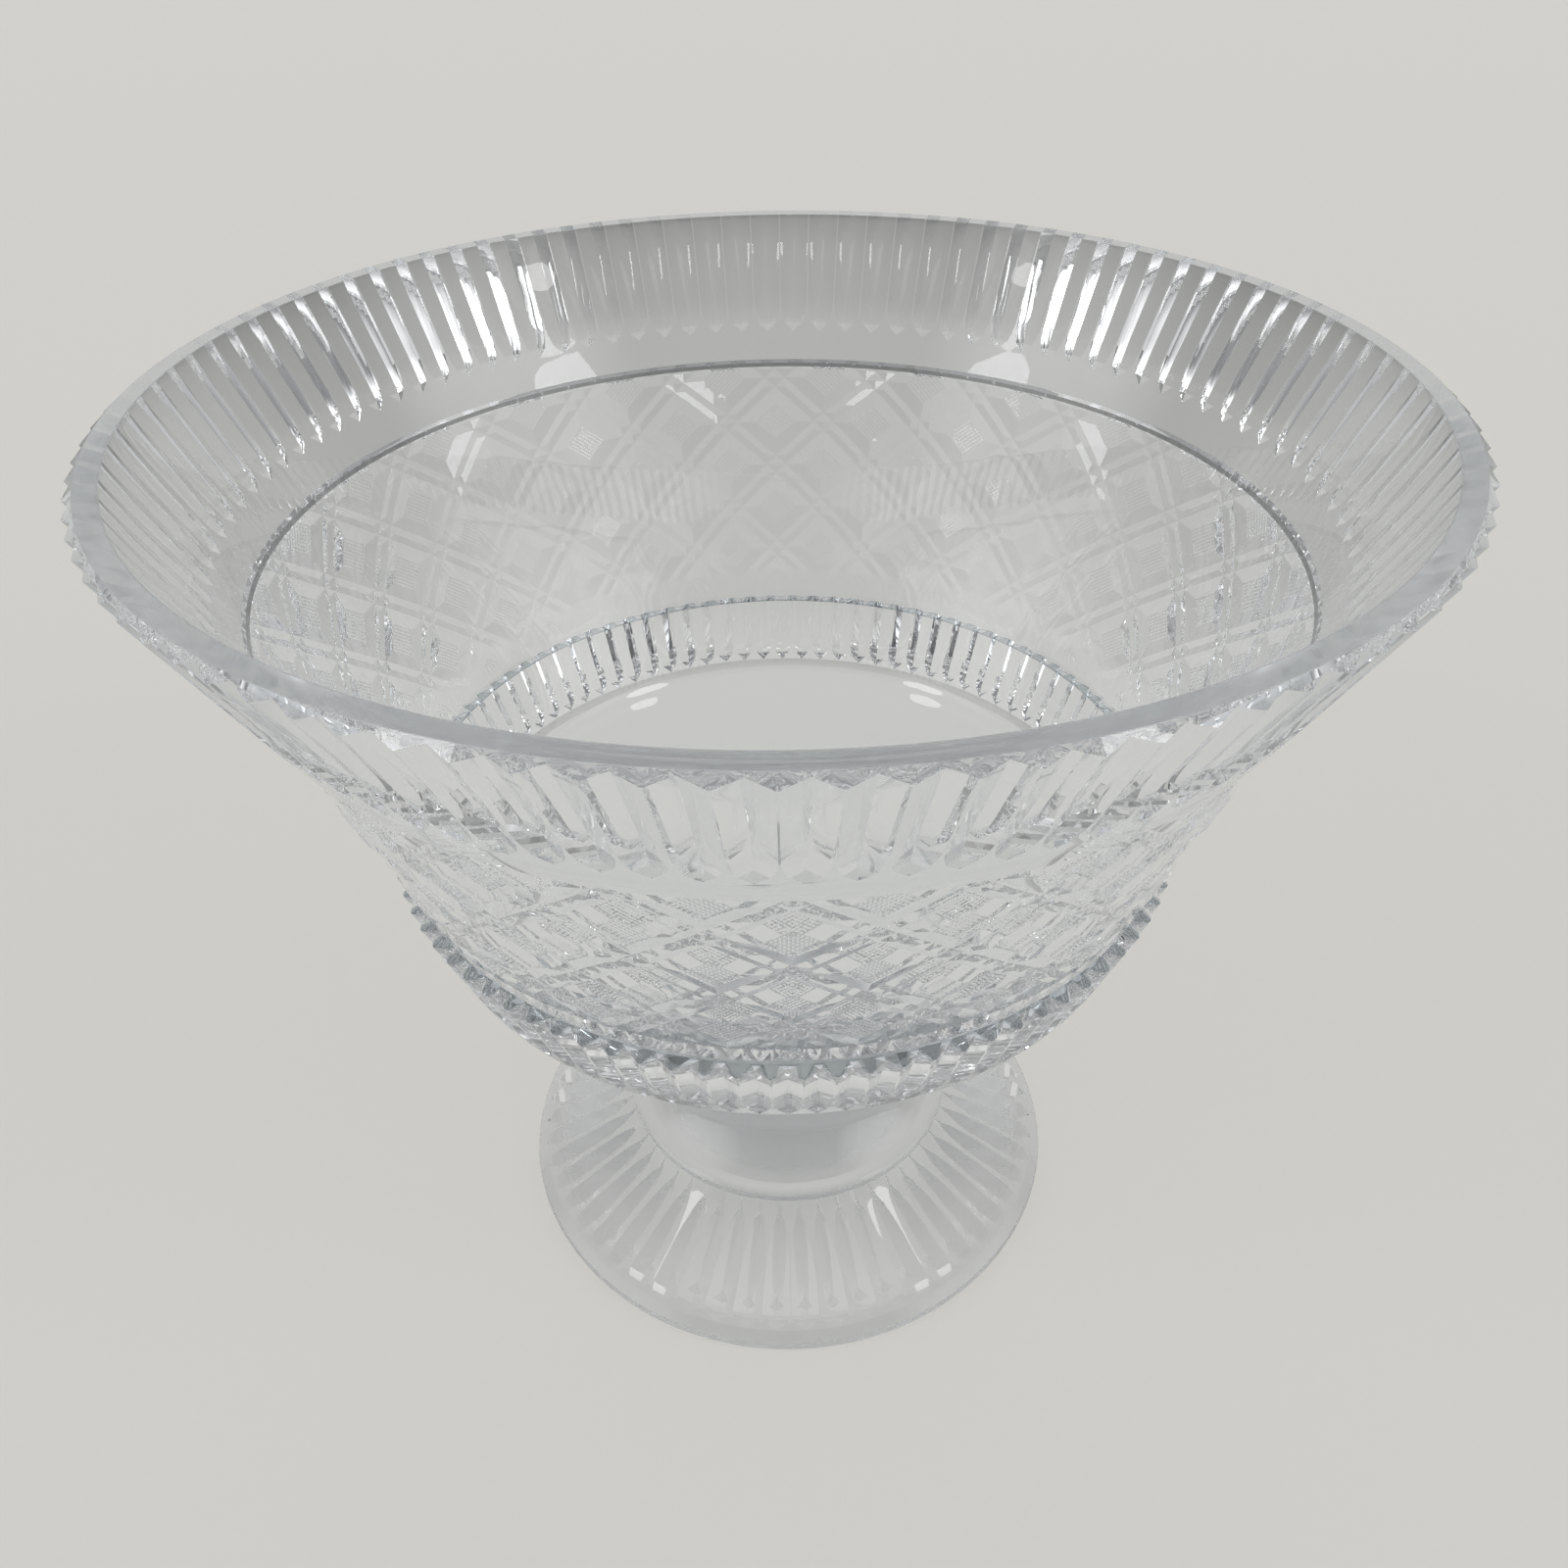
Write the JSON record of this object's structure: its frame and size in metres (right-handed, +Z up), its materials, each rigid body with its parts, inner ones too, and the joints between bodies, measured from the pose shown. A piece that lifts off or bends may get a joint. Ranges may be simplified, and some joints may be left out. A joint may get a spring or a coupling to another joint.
{
  "type": "punch bowl",
  "caption": "Flared cut-crystal punch bowl with fluted rim, lattice-cut sides and a ground peg that lifts out of a fluted pedestal stand.",
  "frame": {"origin": "centre of the foot's ground ring, on the surface the stand rests on", "axes": "+Z up along the bowl's axis of rotation"},
  "size_m": [0.3098, 0.3098, 0.2695],
  "materials": {
    "bowl_crystal": "clear lead crystal, wheel-cut and acid-polished",
    "stand_crystal": "clear lead crystal, wheel-cut and acid-polished"
  },
  "bodies": {
    "stand": {"foot": "stand_crystal", "merese": "stand_crystal", "stem": "stand_crystal"},
    "bowl": {"bowl": "bowl_crystal", "bowl_peg": "bowl_crystal"}
  },
  "joints": [
    {"name": "bowl_lift", "type": "slide", "parent": "stand", "child": "bowl", "axis": [0, 0, 1], "range_m": [0, 0.04]}
  ]
}
